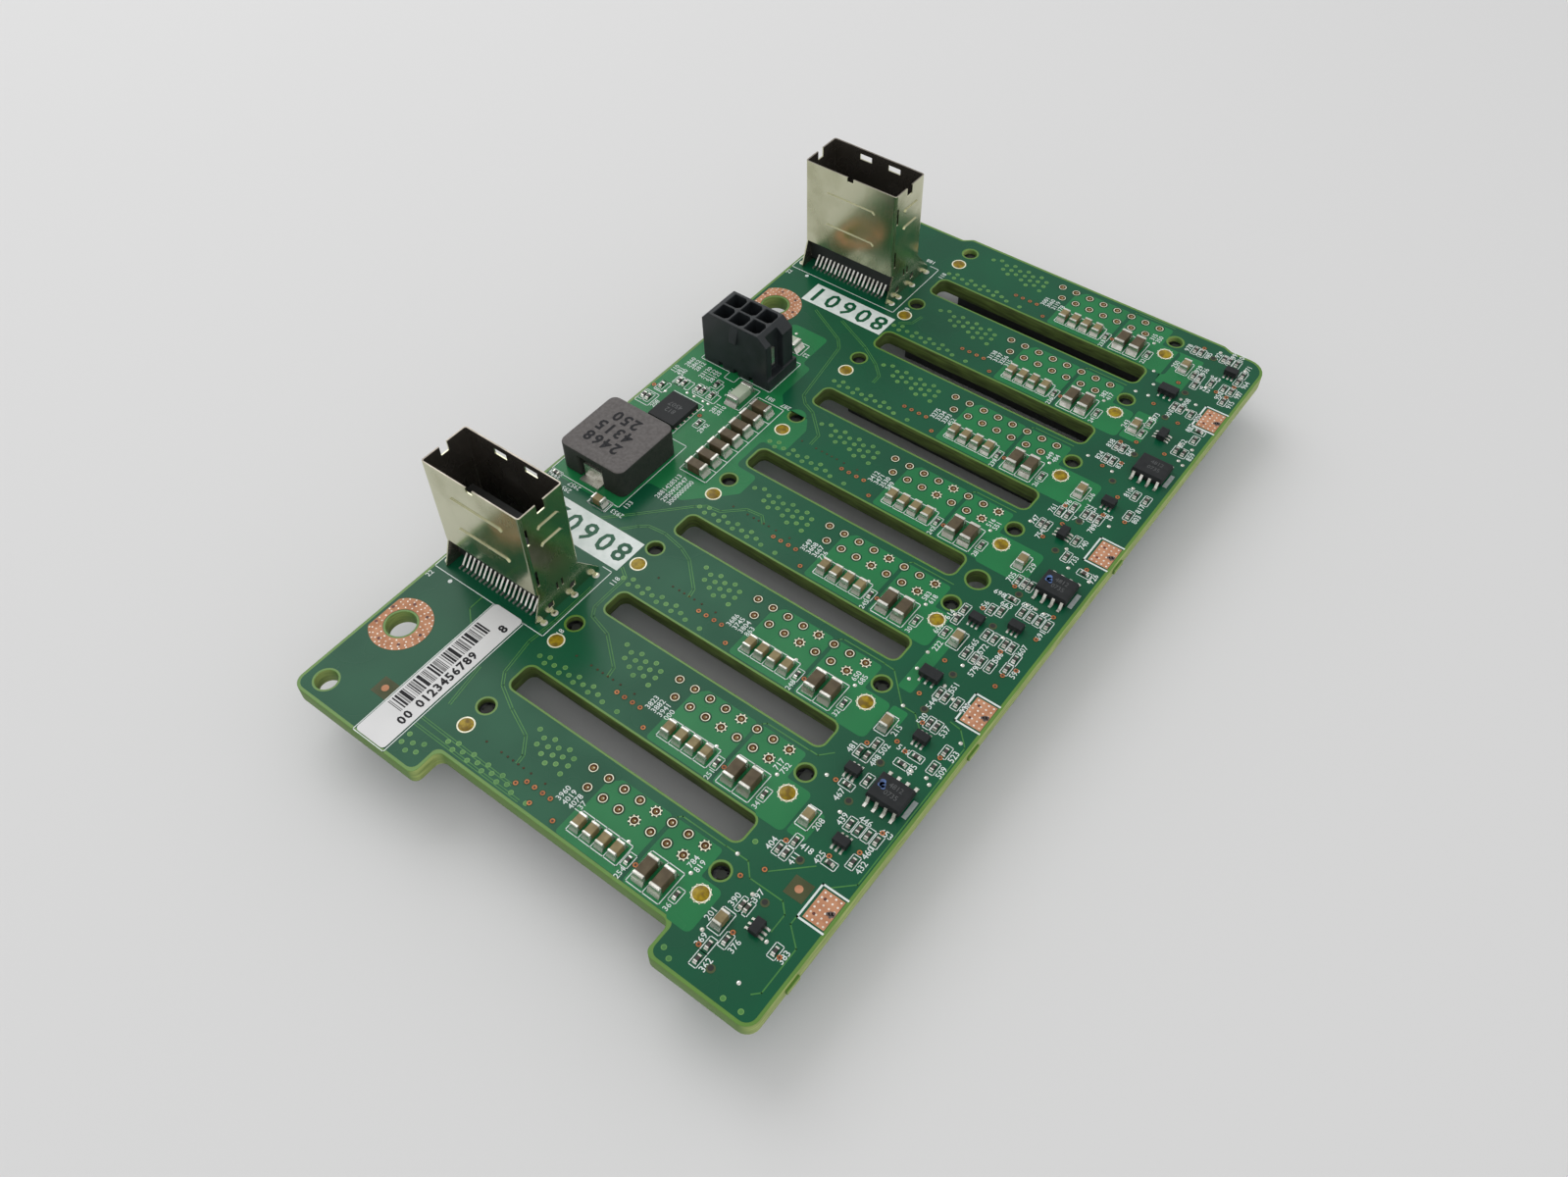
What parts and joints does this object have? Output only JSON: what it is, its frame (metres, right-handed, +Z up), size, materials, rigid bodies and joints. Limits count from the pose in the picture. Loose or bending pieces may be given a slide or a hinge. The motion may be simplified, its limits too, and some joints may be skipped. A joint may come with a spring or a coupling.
{
  "type": "drive backplane board",
  "caption": "Flat green circuit board with a row of drive connectors below, upright metal cable ports and a power header above, and air slots between the bays.",
  "frame": {"origin": "centre of the resting face, under the drive connectors", "axes": "+X across the board away from the cable ports, +Y along the row of bays towards bay 1, +Z up out of the cable ports"},
  "size_m": [0.0768, 0.1322, 0.0294],
  "materials": {
    "resistor_body": "fired ceramic",
    "board_laminate": "solder mask, satin",
    "connector_plastic": "moulded",
    "contact_gold": "plated",
    "tinned": "tinned",
    "fuse_body": "fired ceramic",
    "powder_core": "pressed powder",
    "label_paper": "coated paper",
    "capacitor_body": "fired ceramic",
    "cage_sheet": "nickel plated sheet",
    "header_plastic": "moulded",
    "clip_metal": "bare",
    "chip_body": "moulded"
  },
  "bodies": {
    "root": {"chip_resistors": "resistor_body", "circuit_board": "board_laminate", "drive_connector_1": "connector_plastic", "drive_connector_2": "connector_plastic", "drive_connector_3": "connector_plastic", "drive_connector_4": "connector_plastic", "drive_connector_5": "connector_plastic", "drive_connector_6": "connector_plastic", "drive_connector_7": "connector_plastic", "drive_connector_8": "connector_plastic", "drive_contacts_1": "contact_gold", "drive_contacts_2": "contact_gold", "drive_contacts_3": "contact_gold", "drive_contacts_4": "contact_gold", "drive_contacts_5": "contact_gold", "drive_contacts_6": "contact_gold", "drive_contacts_7": "contact_gold", "drive_contacts_8": "contact_gold", "drive_hold_downs": "tinned", "fuse_ends": "tinned", "fuses": "fuse_body", "inductor_core": "powder_core", "inductor_terminals": "tinned", "label": "label_paper", "large_capacitor_ends": "tinned", "large_capacitors": "capacitor_body", "port_cage_1": "cage_sheet", "port_cage_2": "cage_sheet", "port_contacts_1": "tinned", "port_contacts_2": "tinned", "port_housing_1": "connector_plastic", "port_housing_2": "connector_plastic", "power_header": "header_plastic", "power_header_clip": "clip_metal", "power_header_pins": "contact_gold", "regulator_chip": "chip_body", "small_capacitors": "capacitor_body", "switch_bodies": "chip_body", "switch_leads": "tinned", "transistor_bodies": "chip_body", "transistor_leads": "tinned"}
  },
  "joints": []
}
